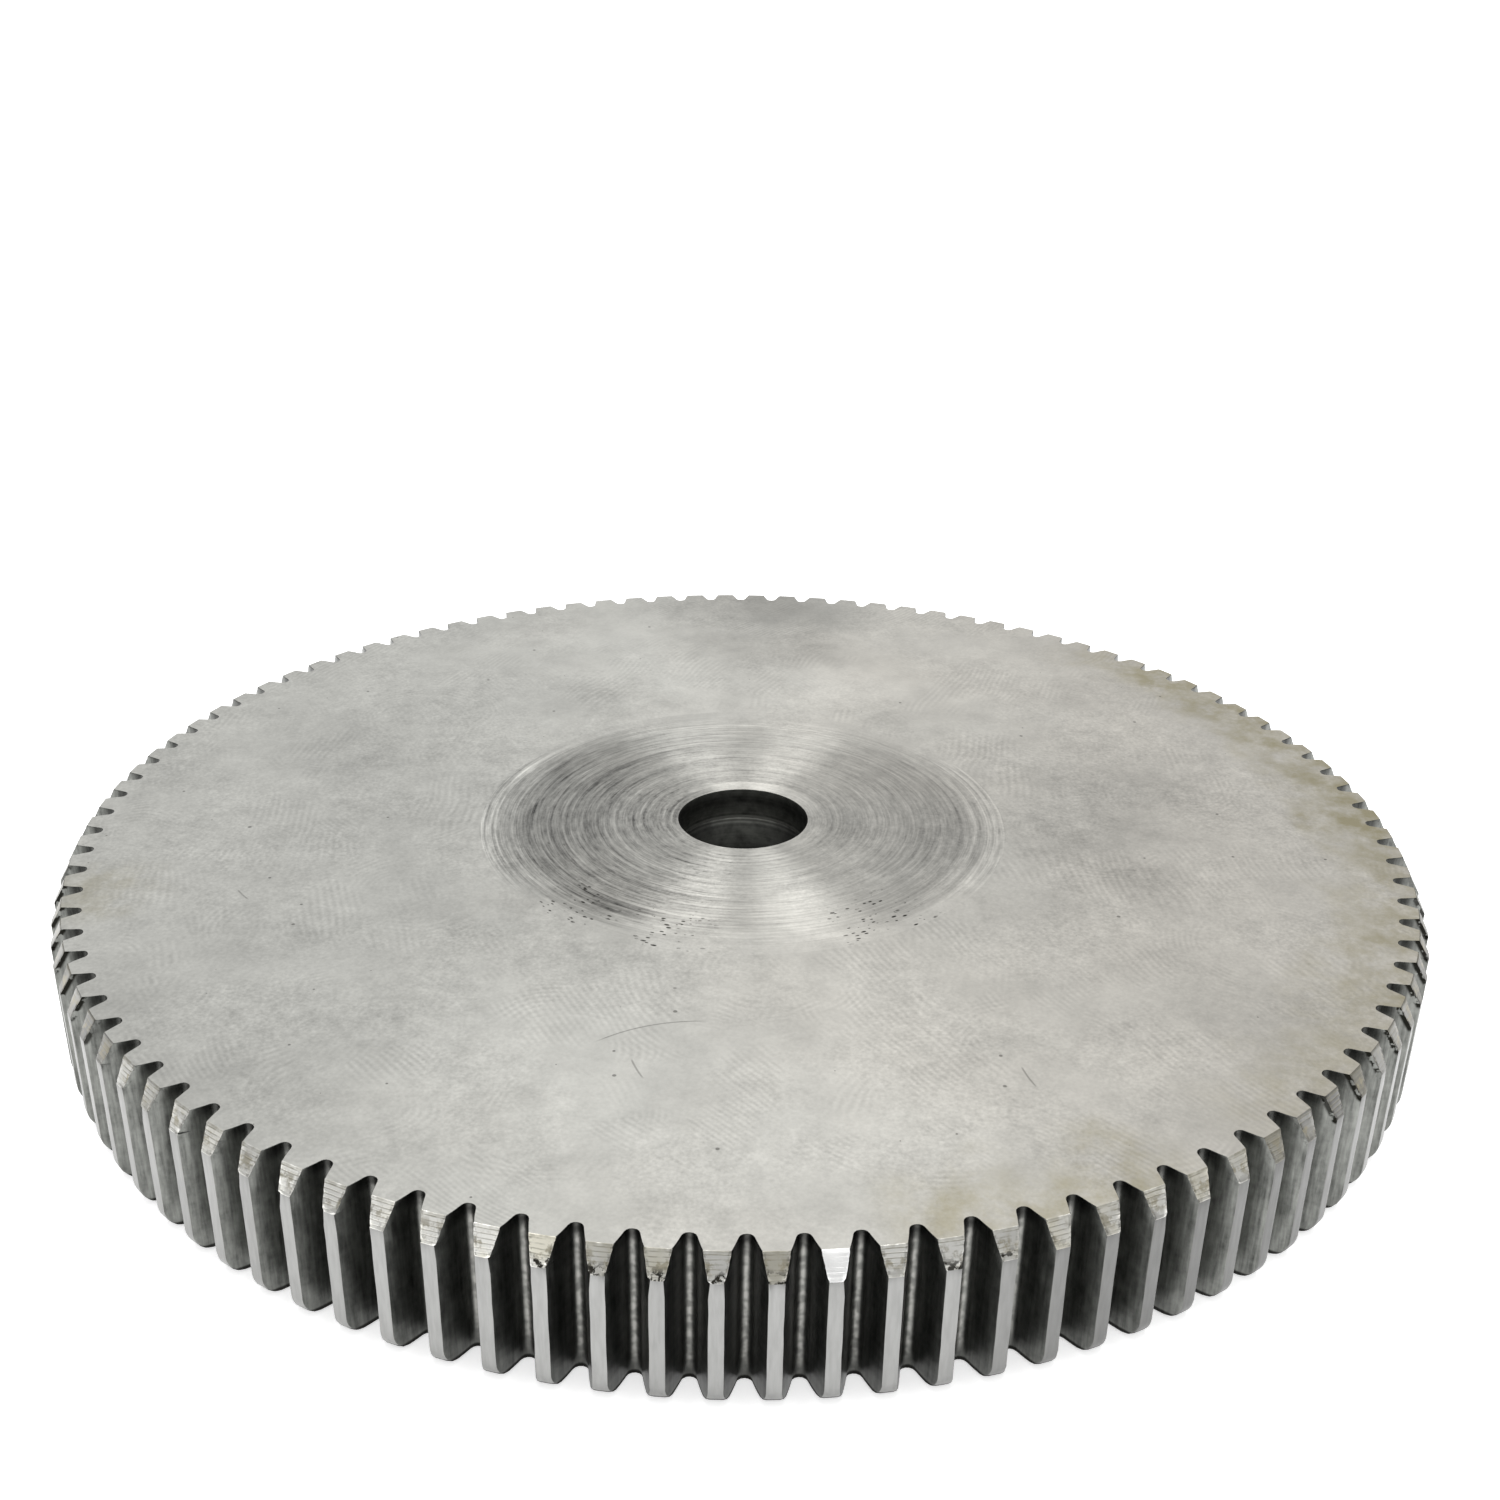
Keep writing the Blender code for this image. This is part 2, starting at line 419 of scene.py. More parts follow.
class Surface:
    """A material under construction: its node tree and the places on the gear that its patterns read."""

    def __init__(self, name):
        self.material = bpy.data.materials.new(name)
        self.material.use_nodes = True
        self.tree = self.material.node_tree
        self.shader = self.tree.nodes["Principled BSDF"]
        coordinates = self.tree.nodes.new("ShaderNodeTexCoord")
        self.place = coordinates.outputs["Object"]
        split = self.tree.nodes.new("ShaderNodeSeparateXYZ")
        self.tree.links.new(self.place, split.inputs[0])
        self.x, self.y, self.z = (Field(self.tree, socket) for socket in split.outputs)
        self.radius = (self.x * self.x + self.y * self.y).math("SQRT")
        self.angle = self.y.math("ARCTAN2", self.x)

    def around(self, reach):
        """The place made of the radius and the direction from the axis, so that noise there makes rings.
        The greater the reach, the shorter the arcs."""
        return self.joined(self.radius, self.x / self.radius * reach, self.y / self.radius * reach)

    def joined(self, x, y, z):
        """The place made of these three numbers."""
        node = self.tree.nodes.new("ShaderNodeCombineXYZ")
        for socket, value in zip(node.inputs, (x, y, z)):
            feed(self.tree, socket, value)
        return node.outputs[0]

    def texture(self, kind, size, vector):
        node = self.tree.nodes.new(kind)
        self.tree.links.new(vector or self.place, node.inputs["Vector"])
        node.inputs["Scale"].default_value = 1 / size
        return node

    def noise(self, size, detail=3.0, rough=0.5, vector=None, offset=0.0):
        """Uneven 0 to 1 patches about this size across."""
        node = self.texture("ShaderNodeTexNoise", size, vector)
        node.noise_dimensions = "4D"
        node.inputs["W"].default_value = offset
        node.inputs["Detail"].default_value = detail
        node.inputs["Roughness"].default_value = rough
        return Field(self.tree, node.outputs["Fac"])

    def dots(self, spacing, radius, share, vector=None):
        """1 in scattered dots of about this radius, in this share of the cells that lie this far apart."""
        node = self.texture("ShaderNodeTexVoronoi", spacing, vector)
        node.voronoi_dimensions = "2D"
        split = self.tree.nodes.new("ShaderNodeSeparateColor")
        self.tree.links.new(node.outputs["Color"], split.inputs[0])
        chosen = Field(self.tree, split.outputs[0]).step(1 - share, 1 - share + 0.02)
        size = Field(self.tree, split.outputs[1]) * (radius / spacing) + 0.3 * radius / spacing
        near = (Field(self.tree, node.outputs["Distance"]) / size).step(1.2, 0.7)
        return chosen * near

    def centre_distance(self, spacing):
        """The distance on the face from the nearest of many scattered points, this far apart."""
        node = self.texture("ShaderNodeTexVoronoi", spacing, None)
        node.voronoi_dimensions = "2D"
        return Field(self.tree, node.outputs["Distance"]) * spacing

    def towards(self, degrees, low, high):
        """Grows from 0 to 1 as the direction from the axis turns towards this angle, low and high being cosines."""
        turn = math.radians(degrees)
        across = self.x * math.cos(turn) + self.y * math.sin(turn)
        return (across / self.radius).step(low, high)

    def tooth_chance(self, offset):
        """A random 0 to 1 for each tooth."""
        number = (self.angle / TOOTH_STEP + (0.5 + TOOTH_COUNT)).math("FLOOR").math("MODULO", TOOTH_COUNT)
        node = self.tree.nodes.new("ShaderNodeTexWhiteNoise")
        node.noise_dimensions = "1D"
        feed(self.tree, node.inputs["W"], number + offset)
        return Field(self.tree, node.outputs["Value"])

    def gap_across(self):
        """The distance round the gear from the middle of the nearest gap between two teeth."""
        turns = (self.angle / TOOTH_STEP + TOOTH_COUNT).math("FRACT")
        return (turns - 0.5).math("ABSOLUTE") * self.radius * TOOTH_STEP

    def ramp(self, field, stops):
        """A grey that follows field through (position, brightness) stops."""
        node = self.tree.nodes.new("ShaderNodeValToRGB")
        feed(self.tree, node.inputs[0], field)
        elements = node.color_ramp.elements
        while len(elements) < len(stops):
            elements.new(0.5)
        for element, (position, grey) in zip(elements, stops):
            element.position = position
            element.color = (grey, grey, grey, 1)
        return Field(self.tree, node.outputs[0])

    def blended(self, base, over, amount, mode="MIX"):
        """Base with the colour over laid on it by amount."""
        node = self.tree.nodes.new("ShaderNodeMix")
        node.data_type = "RGBA"
        node.blend_type = mode
        feed(self.tree, node.inputs[0], amount)
        for socket, colour in ((node.inputs[6], base), (node.inputs[7], over)):
            feed(self.tree, socket, colour if isinstance(colour, Field) else (*colour, 1))
        return Field(self.tree, node.outputs[2])

    def finish(self, colour, roughness, height, anisotropy=0.0):
        """Joins colour, roughness and bump height in metres to the metal shader."""
        tree, shader = self.tree, self.shader
        shader.inputs["Metallic"].default_value = 1.0
        feed(tree, shader.inputs["Base Color"], colour)
        feed(tree, shader.inputs["Roughness"], roughness)
        bump = tree.nodes.new("ShaderNodeBump")
        bump.inputs["Distance"].default_value = 1.0
        feed(tree, bump.inputs["Height"], height)
        tree.links.new(bump.outputs[0], shader.inputs["Normal"])
        if anisotropy:
            shader.inputs["Anisotropic"].default_value = anisotropy
            shader.inputs["Anisotropic Rotation"].default_value = 0.25
            tangent = tree.nodes.new("ShaderNodeTangent")
            tangent.direction_type = "RADIAL"
            tangent.axis = "Z"
            tree.links.new(tangent.outputs[0], shader.inputs["Tangent"])
        return self.material


# ---------------------------------------------------------------- the face

COOL_STEEL = (0.545, 0.544, 0.512)
WARM_STEEL = (0.557, 0.537, 0.492)
STAIN = (0.315, 0.285, 0.185)
GRIME = (0.035, 0.033, 0.028)

# The most marked of the turned rings, where thin painted glints are drawn
BRIGHT_RINGS = (6.35, 8.0, 10.3, 13.0, 14.3, 18.0, 18.9, 19.5, 20.1)

# Dull smears on the face: x, y and radius in millimetres, and how dark
SMEARS = ((-13, 22, 6, 0.10), (12, 20, 6, 0.10), (2, 33, 8, 0.09), (3, 46, 7, 0.16), (-32, 14, 9, 0.06),
          (31, 4, 7, 0.08), (26, -2, 6, 0.07), (30, -9, 3, 0.16), (22, -13, 2.5, 0.12), (-10, -20, 4, 0.09),
          (-34, -20, 5, 0.08), (4, -27, 5, 0.05), (-26, -33, 6, 0.05), (34, -26, 5, 0.06))

# Scratches on the face: x and y of the middle and length in millimetres, and direction in degrees
SCRATCHES = ((-5.6, -33.8, 2.4, 114), (18.3, -33.6, 2.4, 108), (-35.3, -13.8, 1.9, 130), (-5.2, -29.1, 8.0, 21))

# The face mill's sweep and feed, and the finer crescents' spacing and feed
MILL_RADIUS = 62 * MM
MILL_FEED = 0.56 * MM
SWIRL_SPACING = 17 * MM
SWIRL_FEED = 0.50 * MM


def painted_ring_glints(s):
    """Thin bright rings at the listed radii: real turned rings with a painted glint on them."""
    stops = [(0.0, 0.0)]
    scale = 24.0
    for radius in BRIGHT_RINGS:
        stops += [((radius + off) / scale, grey) for off, grey in ((-0.13, 0.0), (0.0, 1.0), (0.13, 0.0))]
    return s.ramp(s.radius / (scale * MM), stops)


def smears(s):
    """How much the dull smears darken the face, their outlines broken by noise."""
    wander = (s.noise(7 * MM, 3.0, offset=11.0) - 0.5) * (9 * MM)
    ragged = (s.noise(3 * MM, 3.0, offset=12.0) - 0.5) * (5 * MM)
    total = None
    for x, y, radius, dark in SMEARS:
        across, along = s.x - x * MM + wander, s.y - y * MM + ragged
        apart = (across * across + along * along).math("SQRT")
        spot = apart.step(radius * 1.3 * MM, radius * 0.2 * MM) * dark
        total = spot if total is None else total + spot
    return total


def scratches(s):
    """1 along each scratch."""
    total = None
    for x, y, length, degrees in SCRATCHES:
        turn = math.radians(degrees)
        away_x, away_y = s.x - x * MM, s.y - y * MM
        along = away_x * math.cos(turn) + away_y * math.sin(turn)
        beside = away_y * math.cos(turn) - away_x * math.sin(turn) + along * along * (0.05 / MM)
        inside = along.math("ABSOLUTE").step(length / 2 * MM, length / 3 * MM)
        line = beside.math("ABSOLUTE").step(0.09 * MM, 0.03 * MM) * inside
        total = line if total is None else total + line
    return total


def milling_arcs(s, bulge, middle, offset):
    """Fine arcs left by the face mill, -1 to 1, seen only in patches."""
    across = s.y - middle * MM
    sweep = (across * across * -1.0 + MILL_RADIUS ** 2).math("SQRT")
    drift = (s.noise(9 * MM, 1.0, offset=offset) - 0.5) * (3.2 * MM)
    waves = ((s.x + sweep * bulge + drift) * (2 * math.pi / MILL_FEED)).math("SINE")
    return waves * s.noise(7 * MM, 3.0, 0.6, offset=offset + 1).step(0.50, 0.62)


def swirls(s):
    """Small crescents of finer arcs about scattered centres, -1 to 1, seen only in patches."""
    drift = (s.noise(6 * MM, 1.0, offset=45.0) - 0.5) * (3.0 * MM)
    from_centre = s.centre_distance(SWIRL_SPACING) + drift
    waves = (from_centre * (2 * math.pi / SWIRL_FEED)).math("SINE")
    band = from_centre.between(3.0 * MM, 8.5 * MM, 1.2 * MM)
    return waves * band * s.noise(5 * MM, 2.0, 0.6, offset=46.0).step(0.50, 0.66)


def scattered_pits(s):
    return s.dots(3.4 * MM, 0.12 * MM, 0.13) * 0.6


def crowded_pits(s):
    """Small black pits on two stretches of the outer turned rings."""
    along = s.joined(s.angle * (9 * MM), s.radius, 0.0)
    pits = s.dots(0.36 * MM, 0.085 * MM, 0.45, along) + s.dots(1.3 * MM, 0.15 * MM, 0.22, along)
    stretch = s.towards(243, 0.90, 0.975) + s.towards(304, 0.965, 0.995)
    clumps = s.noise(1.6 * MM, 4.0, 0.65, offset=21.0).step(0.45, 0.56)
    return pits * stretch * clumps * s.radius.step(14 * MM, 16 * MM)


def rim_stain(s):
    rim = (s.radius + (s.noise(5 * MM, 4.0, offset=1.0) - 0.5) * (11 * MM)).step(42.5 * MM, 48 * MM)
    sides = s.towards(24, 0.86, 0.97) + s.towards(-12, 0.93, 0.99) * 0.8 + s.towards(-38, 0.96, 0.995) * 0.5
    sides = sides + s.towards(-68, 0.975, 0.995) * 0.7 + s.towards(197, 0.994, 0.999) * 0.45
    spots = s.noise(2.5 * MM, 5.0, 0.65, offset=5.0).step(0.26, 0.70)
    return rim * sides * spots


def worn(s, dark):
    """The face's grain, and how bright its steel is with the clouds, mottling and smears of the whole face."""
    grain = s.noise(0.24 * MM, 3.0, 0.6, offset=61.0) - 0.5
    mottle = s.noise(1.1 * MM, 3.0, 0.6, offset=62.0) - 0.5
    patches = s.noise(3.2 * MM, 3.0, 0.6, offset=4.0) - 0.5
    clouds = s.noise(13 * MM, 4.0, 0.62, offset=3.0).step(0.42, 0.80)
    calm = s.noise(9 * MM, 2.0, offset=63.0).step(0.62, 0.38) * 0.6 + s.towards(275, 0.6, 0.95) * 0.25
    calm = calm + s.towards(90, 0.4, 0.95) * 0.35
    fine = (grain * 0.56 + mottle * 0.40) * (1.25 - calm)
    # The dark that each face passes in holds its painted shade and painted highlights, and on the turned rings also
    # real darker stretches.
    tone = fine + patches * 0.36 - clouds * 0.14 - smears(s) - dark + 0.94
    return grain, tone


def steel_tint(s, tone):
    """Greenish grey on the left and warmer on the right, times this tone."""
    side = (s.x + (s.noise(16 * MM, offset=2.0) - 0.5) * (50 * MM)).step(-30 * MM, 40 * MM)
    return s.blended(s.blended(COOL_STEEL, WARM_STEEL, side), tone, 1.0, "MULTIPLY")


def milled_face():
    s = Surface("milled_face")
    arcs = milling_arcs(s, 1.0, 4, 41.0) + milling_arcs(s, -1.0, -12, 51.0) * 0.35
    # Painted shade: the face is painted darker at the front and back rim, towards the front and between the two pale
    # rays; the rays are painted brighter, as painted reflections of the strip lights.
    rim = s.radius.step(41 * MM, 47 * MM) * (s.towards(90, 0.3, 0.9) * 0.08 + s.towards(270, 0.3, 0.9) * 0.08)
    shade_between_rays = s.towards(89, 0.955, 0.995) * s.radius.step(29 * MM, 39 * MM) * 0.13
    painted_ray_light = s.towards(106, 0.975, 0.998) * s.radius.step(44 * MM, 24 * MM) * 0.06
    painted_ray_light = painted_ray_light + s.towards(70, 0.975, 0.998) * s.radius.between(24 * MM, 33 * MM, 5 * MM) * 0.12
    grain, tone = worn(s, s.towards(272, 0.4, 0.95) * 0.04 + rim + shade_between_rays - painted_ray_light)
    crescents = swirls(s) * (1.1 - s.towards(80, 0.2, 0.9) * 0.7)
    tone = tone + arcs * 0.05 + crescents * 0.045
    holes, lines = scattered_pits(s), scratches(s)
    colour = s.blended(steel_tint(s, tone), STAIN, rim_stain(s))
    colour = s.blended(colour, GRIME, holes + lines * 0.4)
    rough = s.noise(6 * MM, 4.0, 0.6, offset=9.0).step(0.2, 0.9) * 0.08 + 0.40
    height = grain * (1.4 * MICRON) + (arcs + crescents * 0.6) * (1.0 * MICRON) - lines * (5 * MICRON)
    return s.finish(colour, rough, height, 0.45)


def turned_face(name, anisotropy, tone_now):
    """The turned rings round the bore, most scored on the left, with painted shade on the left and right, painted
    shade and painted highlights shaped by the direction from the axis, and a painted highlight on the collar.
    """
    s = Surface(name)
    rings = s.noise(0.30 * MM, 3.0, 0.75, vector=s.around(0.25 * MM)) - 0.5
    broken = s.noise(0.26 * MM, 3.0, 0.65, vector=s.around(2.2 * MM), offset=32.0) - 0.5
    sideways = (s.x / s.radius).math("ABSOLUTE").step(0.72, 0.97)
    # Painted glints on the rings, shown only on the left and right.
    marks = painted_ring_glints(s) * s.noise(6 * MM, 2.0, offset=31.0).step(0.35, 0.55) * sideways
    # Painted shade: the turned rings are painted darker on the left and right, most in the band from 12 to 18.4 mm;
    # left and right also make the real rings more scored.
    left, right = s.towards(192, 0.1, 0.95), s.towards(2, 0.5, 0.97)
    scored = left * 1.3 + right * 0.5 + 1.0
    crescent_shade = s.radius.between(12.0 * MM, 18.4 * MM, 1.8 * MM)
    dark = left * (crescent_shade * 0.12 + 0.22) + right * (crescent_shade * 0.08 + 0.03) + s.towards(130, 0.75, 0.97) * 0.08
    # Painted shade in front of and behind the bore, near its edge.
    wedge_shade = s.towards(270, 0.7, 0.95) + s.towards(90, 0.7, 0.95)
    dark = dark + wedge_shade * s.radius.step(17 * MM, 6 * MM) * 0.16
    # Painted highlight: brighter along the diagonals.
    diagonal_light = (s.x * s.y / (s.radius * s.radius) * 2.0).math("POWER", 2.0)
    collar = s.radius.step(6.6 * MM, 6.2 * MM)
    # Painted highlight on the collar, brightest towards the back and weaker towards the front.
    collar_highlight = s.towards(60, 0.5, 0.95) * 0.22 - s.towards(280, 0.80, 0.98) * 0.15 + 0.10
    dark = dark - diagonal_light * 0.13 - collar * collar_highlight
    # Painted shade behind the bore beyond about 10 mm.
    dark = dark + s.towards(90, 0.35, 0.85) * s.radius.step(8 * MM, 12 * MM) * 0.12
    stretches = s.towards(234, 0.96, 0.99) * 0.20 + s.towards(313, 0.97, 0.995) * 0.16
    # tone_now sets how strongly the painted shade and painted highlights apply.
    grain, tone = worn(s, dark * tone_now + stretches * s.radius.between(16.3 * MM, 18.8 * MM, 1.4 * MM))
    fading = (s.radius.step(20.4 * MM, 17.0 * MM) + sideways).math("MINIMUM", 1.0)
    rings, broken = rings * fading, broken * fading
    tone = tone + rings * scored * 0.9 + broken * scored * 0.55 + marks * scored * 0.15
    tone = tone * (1.06 - 0.20 * tone_now)
    specks = s.noise(0.34 * MM, 2.0, 0.6, vector=s.around(7 * MM), offset=33.0).step(0.66, 0.74)
    specks = specks * s.towards(222, 0.55, 0.95) * s.radius.between(10 * MM, 18 * MM, 2 * MM) * 0.5
    colour = s.blended(steel_tint(s, tone), GRIME, crowded_pits(s) + specks)
    height = rings * (14 * MICRON) + broken * (4 * MICRON) + grain * (1.4 * MICRON)
    return s.finish(colour, rings * 0.15 + 0.40, height, anisotropy)


# ---------------------------------------------------------------- the teeth and the bore

TURNED_LINE_PITCH = 0.235 * MM
HOB_FEED = 0.75 * MM

# Half a gap's width in the chamfer is about the radius times this slope, less this much
HALF_GAP_SLOPE = 0.434
HALF_GAP_OFFSET = 20.93 * MM


def torn_teeth(s):
    """1 on the two stretches of teeth with torn edges."""
    return s.towards(205, 0.96, 0.985) + s.towards(332, 0.93, 0.97)


def chamfer():
    """Fine turned lines with grime and brown smudges and knocks on some teeth, painted brighter towards the front as
    a painted reflection, with a painted highlight on one tooth and on the teeth right of the front.
    """
    s = Surface("chamfer")
    wander = s.noise(1.5 * MM, 2.0, offset=71.0) * (0.12 * MM)
    lines = ((s.z + wander) * (2 * math.pi / TURNED_LINE_PITCH)).math("SINE").step(0.35, 0.95)
    lines = lines * s.noise(1.2 * MM, 3.0, 0.6, offset=72.0).step(0.34, 0.56)
    nicks = s.noise(0.55 * MM, 3.0, 0.7, offset=6.0).step(0.49, 0.57)
    low = s.z.step(TOP - 0.7 * MM, TOP - 1.35 * MM)
    knocked_teeth = s.towards(266, 0.985, 0.992) + s.towards(286, 0.996, 0.999) * 0.7
    torn = torn_teeth(s)
    grimy = s.noise(4 * MM, 3.0, 0.6, offset=2.0).step(0.42, 0.62)
    brow = s.z.step(TOP - 0.26 * MM, TOP - 0.03 * MM) * s.noise(0.6 * MM, 2.0, offset=73.0).step(0.30, 0.62)
    # Painted reflection: the chamfers are painted brighter towards the front of the gear, and the tone below also
    # changes with the direction from the axis.
    front_painted_shading = s.towards(254, 0.80, 0.96)
    tone = front_painted_shading * 0.50 + 0.38 + s.towards(250, 0.97, 0.995) * 0.30 - s.towards(268, 0.990, 0.998) * 0.20
    # Painted highlight: the teeth right of the front are painted brighter.
    tone = tone + s.towards(294, 0.955, 0.99) * 0.42
    tone = tone * (s.tooth_chance(3.0) * 0.4 + 0.8) * (1.0 - torn * 0.3)
    tone = tone * (1.0 - s.towards(352, 0.93, 0.98) * 0.45)
    grime_now = grimy * (0.8 - s.towards(228, 0.90, 0.97) * 0.6)
    colour = s.blended(s.blended((0.72, 0.715, 0.68), (0.58, 0.555, 0.46), grime_now), tone, 1.0, "MULTIPLY")
    colour = s.blended(colour, (0.20, 0.19, 0.15), lines * (0.62 - low * 0.3) + brow * 0.6)
    smudge = s.noise(0.8 * MM, 4.0, 0.65, offset=74.0).step(0.49, 0.60)
    smudge = smudge * s.z.between(TOP - 1.15 * MM, TOP - 0.35 * MM, 0.3 * MM)
    colour = s.blended(colour, (0.26, 0.235, 0.165), smudge * 0.7)
    edge = (s.gap_across() - s.radius * HALF_GAP_SLOPE + HALF_GAP_OFFSET).step(0.20 * MM, 0.03 * MM)
    ragged = s.noise(0.4 * MM, 3.0, 0.7, offset=8.0).step(0.47, 0.56) * edge * (torn * 0.5 + 0.45)
    marks = nicks * (low * knocked_teeth + low * 0.25) + ragged
    colour = s.blended(colour, GRIME, marks)
    # Painted highlight: one tooth's chamfer is painted near white, standing in for a glint.
    painted_glint = s.towards(277.2, 0.9990, 0.9997)
    colour = s.blended(colour, (0.95, 0.95, 0.94), painted_glint)
    height = marks * (-4 * MICRON) - lines * (4 * MICRON)
    return s.finish(colour, grimy * 0.10 + brow * 0.25 + 0.30, height)


def tooth_tip():
    """Worn smooth along the land, with painted shade round the lower end."""
    s = Surface("tooth_tip")
    grain = s.noise(0.25 * MM, 3.0, vector=s.joined(s.x, s.y, s.z * 0.15))
    clouds = s.noise(3 * MM, 3.0, offset=7.0)
    # Painted shade: the lower end is painted dark.
    lower_end_shade = s.z.step(0.66 * MM, 0.42 * MM)
    tone = (s.tooth_chance(5.0) - 0.5) * 0.14 - s.towards(304, 0.925, 0.985) * 0.42 + 1.0
    colour = s.blended((0.305, 0.305, 0.298), (0.24, 0.24, 0.234), grain.step(0.3, 0.75) * 0.6 + clouds * 0.3)
    colour = s.blended(colour, tone, 1.0, "MULTIPLY")
    colour = s.blended(colour, (0.03, 0.03, 0.028), lower_end_shade * 0.9)
    return s.finish(colour, grain * 0.08 + lower_end_shade * 0.5 + 0.34, grain * (1.0 * MICRON))


def tooth_flank():
    """Dark flanks with painted shade towards the front of the gear, at the gap's upper corners and along the lower
    end, and a paler beaded strip along the root.
    """
    s = Surface("tooth_flank")
    root = s.gap_across().step(0.36 * MM, 0.02 * MM) * s.radius.step(49.1 * MM, 48.9 * MM)
    hob = ((s.z + s.noise(1.5 * MM, offset=8.0) * (0.5 * MM)) * (2 * math.pi / HOB_FEED)).math("SINE")
    streaks = s.noise(0.30 * MM, 3.0, 0.6, vector=s.joined(s.x, s.y, s.z * 0.10))
    mottle = s.noise(0.9 * MM, 4.0, 0.65, offset=4.0)
    # Painted shade: the flanks are painted darker towards the front of the gear.
    front_painted_shading = s.towards(270, 0.78, 0.95) * 0.42 + s.towards(270, 0.955, 0.99) * 0.20
    # Painted shade near the upper end by the root, and painted shade fading the root strip at both ends.
    upper_end_shade = s.z.step(TOP - 1.3 * MM, TOP - 0.3 * MM)
    lower_end_shade = s.z.step(1.9 * MM, 0.7 * MM)
    beads = s.noise(0.50 * MM, 1.0, offset=9.0).step(0.34, 0.66)
    below_chamfer = s.z * -CHAMFER_SLOPE - s.radius + (CHAMFER_RADIUS + TOP * CHAMFER_SLOPE)
    brink = below_chamfer.step(0.46 * MM, 0.24 * MM)
    brink = brink * s.z.step(TOP - 1.9 * MM, TOP - 1.6 * MM)
    tears = s.noise(1.1 * MM, 3.0, 0.65, offset=12.0).step(0.42, 0.47)
    tears = (tears * torn_teeth(s) + s.noise(0.5 * MM, 3.0, 0.65, offset=13.0).step(0.55, 0.62) * 0.3) * brink
    worn_off = (streaks - 0.5) * 2.2 + (mottle - 0.5) * 1.4 + 1.0
    tone = worn_off * (1.0 - front_painted_shading) * (1.0 - upper_end_shade * s.radius.step(50.4 * MM, 49.2 * MM) * 0.75)
    colour = s.blended((0.165, 0.169, 0.158), tone, 1.0, "MULTIPLY")
    strip = root * (beads * 0.34 + 0.16) * (1.0 - upper_end_shade * 0.8) * (1.0 - lower_end_shade * 0.8)
    colour = s.blended(colour, (0.50, 0.49, 0.46), strip)
    # Painted shade: the lowest part of the flanks is painted near black, together with the real torn edges.
    brim_shade = s.z.step(0.54 * MM, 0.36 * MM)
    colour = s.blended(colour, (0.010, 0.010, 0.008), tears + brim_shade * 0.8)
    height = (hob * (1.5 * MICRON) + streaks * (3 * MICRON)) * (1.0 - root)
    return s.finish(colour, mottle * 0.14 + brim_shade * 0.5 + 0.30, height)


def bore_wall():
    """Dark, with painted light and shade down the wall: paler down to the ridge, a painted highlight along it, a
    painted shadow just below it, and darker deeper down.
    """
    s = Surface("bore_wall")
    rings = s.noise(0.3 * MM, 3.0, 0.7, vector=s.joined(0.0, 0.0, s.z))
    mottle = s.noise(0.8 * MM, 3.0, 0.6)
    shade = (rings - 0.5) * 1.6 + (mottle - 0.5) * 2.0 + 1.0
    # Painted light and shade: paler towards the ridge and darker deeper down.
    depth = s.z.step(TOP - 0.4 * MM, TOP - 2.3 * MM) * 2.1 - s.z.step(TOP - 2.6 * MM, TOP - 3.2 * MM) * 2.1 + 0.85
    depth = depth - s.z.step(TOP - 3.4 * MM, TOP - 7 * MM) * 0.25
    colour = s.blended((0.050, 0.051, 0.046), shade * depth, 1.0, "MULTIPLY")
    # Painted highlight along the ridge.
    ridge = s.z.between(TOP - 2.45 * MM, TOP - 2.30 * MM, 0.08 * MM)
    colour = s.blended(colour, (0.28, 0.28, 0.26), ridge)
    # Painted shadow just below the ridge.
    colour = s.blended(colour, (0.02, 0.02, 0.018), s.z.between(TOP - 2.85 * MM, TOP - 2.62 * MM, 0.1 * MM) * 0.8)
    return s.finish(colour, 0.42, rings * (6 * MICRON))


def gear_piece():
    mesh = gear_mesh()
    turned = [turned_face("turned_face", 0.97, 1.0), turned_face("turned_fade", 0.88, 0.75)]
    turned.append(turned_face("turned_edge", 0.60, 0.32))
    for material in [milled_face()] + turned + [chamfer(), tooth_tip(), tooth_flank(), bore_wall()]:
        mesh.materials.append(material)
    shade(mesh)
    gear = bpy.data.objects.new("gear_steel", mesh)
    bpy.context.scene.collection.objects.link(gear)
    weighted = gear.modifiers.new("even_shading", "WEIGHTED_NORMAL")
    weighted.keep_sharp = True
    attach(gear, "root")
    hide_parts("spur_gear")


# ---------------------------------------------------------------- floor, light and camera

FLOOR_HALF = 8.0
FLOOR_GLOW = 0.6


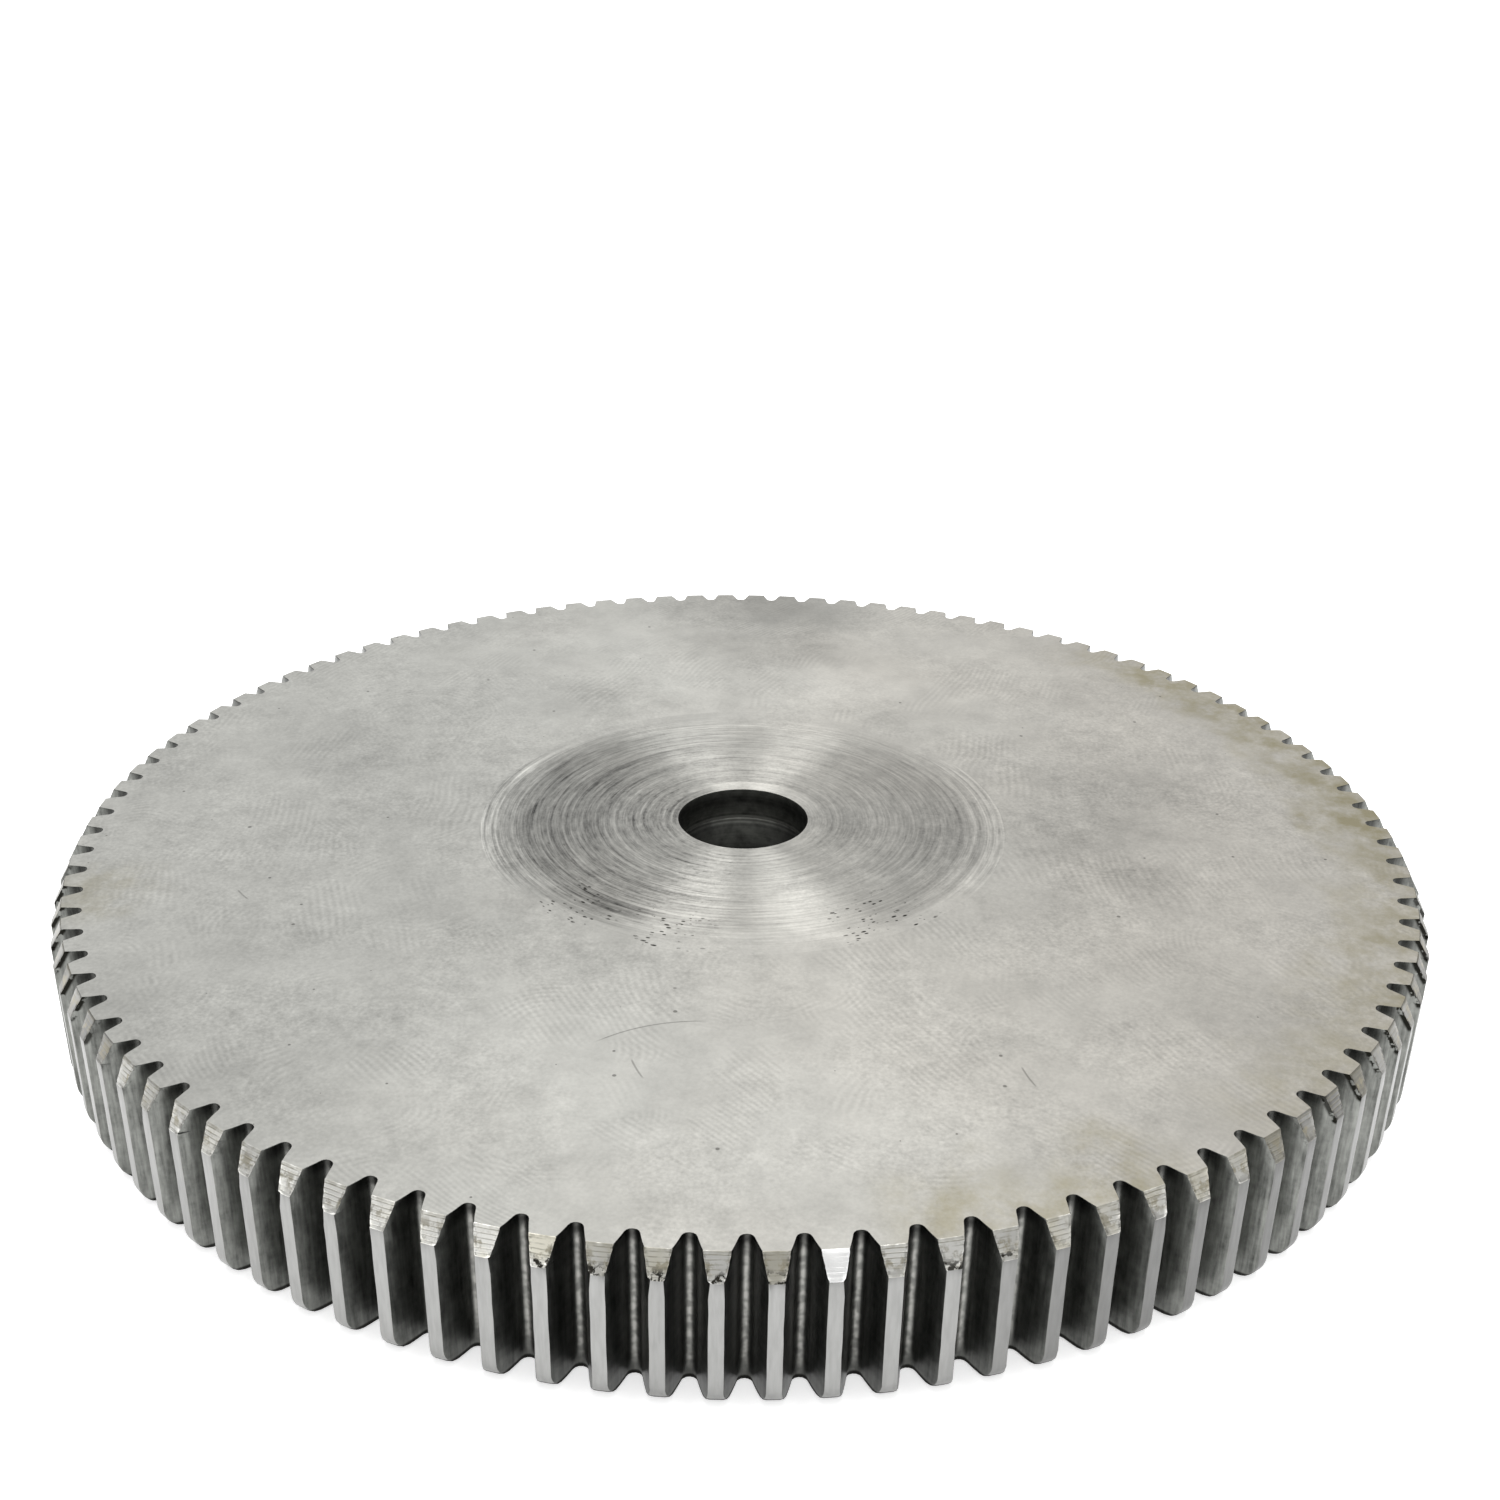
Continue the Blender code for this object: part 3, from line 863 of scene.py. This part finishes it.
def floor():
    """A pale floor with a little light of its own, like a light table."""
    mesh = bpy.data.meshes.new("floor")
    half = FLOOR_HALF
    corners = [(-half, -half, 0), (half, -half, 0), (half, half, 0), (-half, half, 0)]
    mesh.from_pydata(corners, [], [(0, 1, 2, 3)])
    plane = bpy.data.objects.new("floor", mesh)
    plane.location.z = LOW.z - 0.02 * MM
    bpy.context.scene.collection.objects.link(plane)
    paper = bpy.data.materials.new("pale_floor")
    paper.use_nodes = True
    shader = paper.node_tree.nodes["Principled BSDF"]
    shader.inputs["Base Color"].default_value = (0.92, 0.92, 0.92, 1)
    shader.inputs["Roughness"].default_value = 0.9
    shader.inputs["Specular IOR Level"].default_value = 0.2
    shader.inputs["Emission Color"].default_value = (1, 1, 1, 1)
    shader.inputs["Emission Strength"].default_value = FLOOR_GLOW
    mesh.materials.append(paper)
    plane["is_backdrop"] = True


def softbox(name, place):
    """A strip light here, aimed at the gear."""
    data = bpy.data.lights.new(name, "AREA")
    data.shape = "RECTANGLE"
    data.size, data.size_y = STRIP_SIZE
    data.energy = STRIP_POWER
    lamp = bpy.data.objects.new(name, data)
    lamp.location = place
    lamp.rotation_euler = (-Vector(place)).to_track_quat("-Z", "Y").to_euler()
    bpy.context.scene.collection.objects.link(lamp)


# Two strip lights overhead, side by side, whose reflections in the turned rings make the pale rays
STRIP_ASIDE = 0.17
STRIP_BEHIND = 0.05
STRIP_HEIGHT = 0.7
STRIP_SIZE = (0.05, 0.26)
STRIP_POWER = 1.45

# The studio's brightness from the horizon up to straight overhead
SKY = ((0.0, 0.30), (0.25, 0.58), (0.45, 0.97), (0.75, 1.04), (1.0, 1.08))


def sky():
    world = bpy.data.worlds.new("studio")
    world.use_nodes = True
    tree = world.node_tree
    coordinates = tree.nodes.new("ShaderNodeTexCoord")
    split = tree.nodes.new("ShaderNodeSeparateXYZ")
    ramp = tree.nodes.new("ShaderNodeValToRGB")
    elements = ramp.color_ramp.elements
    while len(elements) < len(SKY):
        elements.new(0.5)
    brightest = SKY[-1][1]
    for element, (height, bright) in zip(elements, SKY):
        element.position = height
        element.color = (bright / brightest, bright / brightest, bright / brightest, 1)
    tree.links.new(coordinates.outputs["Generated"], split.inputs[0])
    tree.links.new(split.outputs["Z"], ramp.inputs[0])
    tree.links.new(ramp.outputs[0], tree.nodes["Background"].inputs["Color"])
    tree.nodes["Background"].inputs["Strength"].default_value = brightest
    bpy.context.scene.world = world


def lights():
    sky()
    softbox("overhead_left", (-STRIP_ASIDE, STRIP_BEHIND, STRIP_HEIGHT))
    softbox("overhead_right", (STRIP_ASIDE, STRIP_BEHIND, STRIP_HEIGHT))


# Where the camera stands, from the gear's middle at its upper face
CAMERA_DISTANCE = 2.7382 * TIP_RADIUS
CAMERA_ELEVATION = math.radians(27.203)
CAMERA_TURN = math.radians(1.178)
CAMERA_PITCH = -0.01003
CAMERA_YAW = -0.00487
CAMERA_ROLL = 0.01439
LENS_PER_FRAME = 1793.8 / 1500
SHIFT_UP = 50 / 1500
SHIFT_RIGHT = -2 / 1500


def camera():
    data = bpy.data.cameras.new("camera")
    data.sensor_width = 36.0
    data.lens = LENS_PER_FRAME * data.sensor_width
    data.shift_x, data.shift_y = SHIFT_RIGHT, SHIFT_UP
    data.clip_start = 0.005
    eye = bpy.data.objects.new("camera", data)
    stand = Vector((0, -math.cos(CAMERA_ELEVATION), math.sin(CAMERA_ELEVATION))) * CAMERA_DISTANCE
    level = Euler((math.pi / 2 - CAMERA_ELEVATION, 0, 0)).to_matrix()
    tilt = Matrix.Rotation(-CAMERA_ROLL, 3, "Z") @ Matrix.Rotation(-CAMERA_YAW, 3, "Y")
    tilt = tilt @ Matrix.Rotation(CAMERA_PITCH, 3, "X")
    turn = Matrix.Rotation(CAMERA_TURN, 3, "Z")
    rotation = turn @ level @ tilt.inverted()
    eye.matrix_world = Matrix.Translation(turn @ stand + Vector((0, 0, TOP))) @ rotation.to_4x4()
    bpy.context.scene.collection.objects.link(eye)
    bpy.context.scene.camera = eye


camera()
lights()
floor()
gear_piece()
bpy.context.scene.view_settings.view_transform = "Standard"

boxes = {"cad": CAD_BOX, "visual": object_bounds()}
{name: [list(corner) for corner in box] for name, box in boxes.items()}
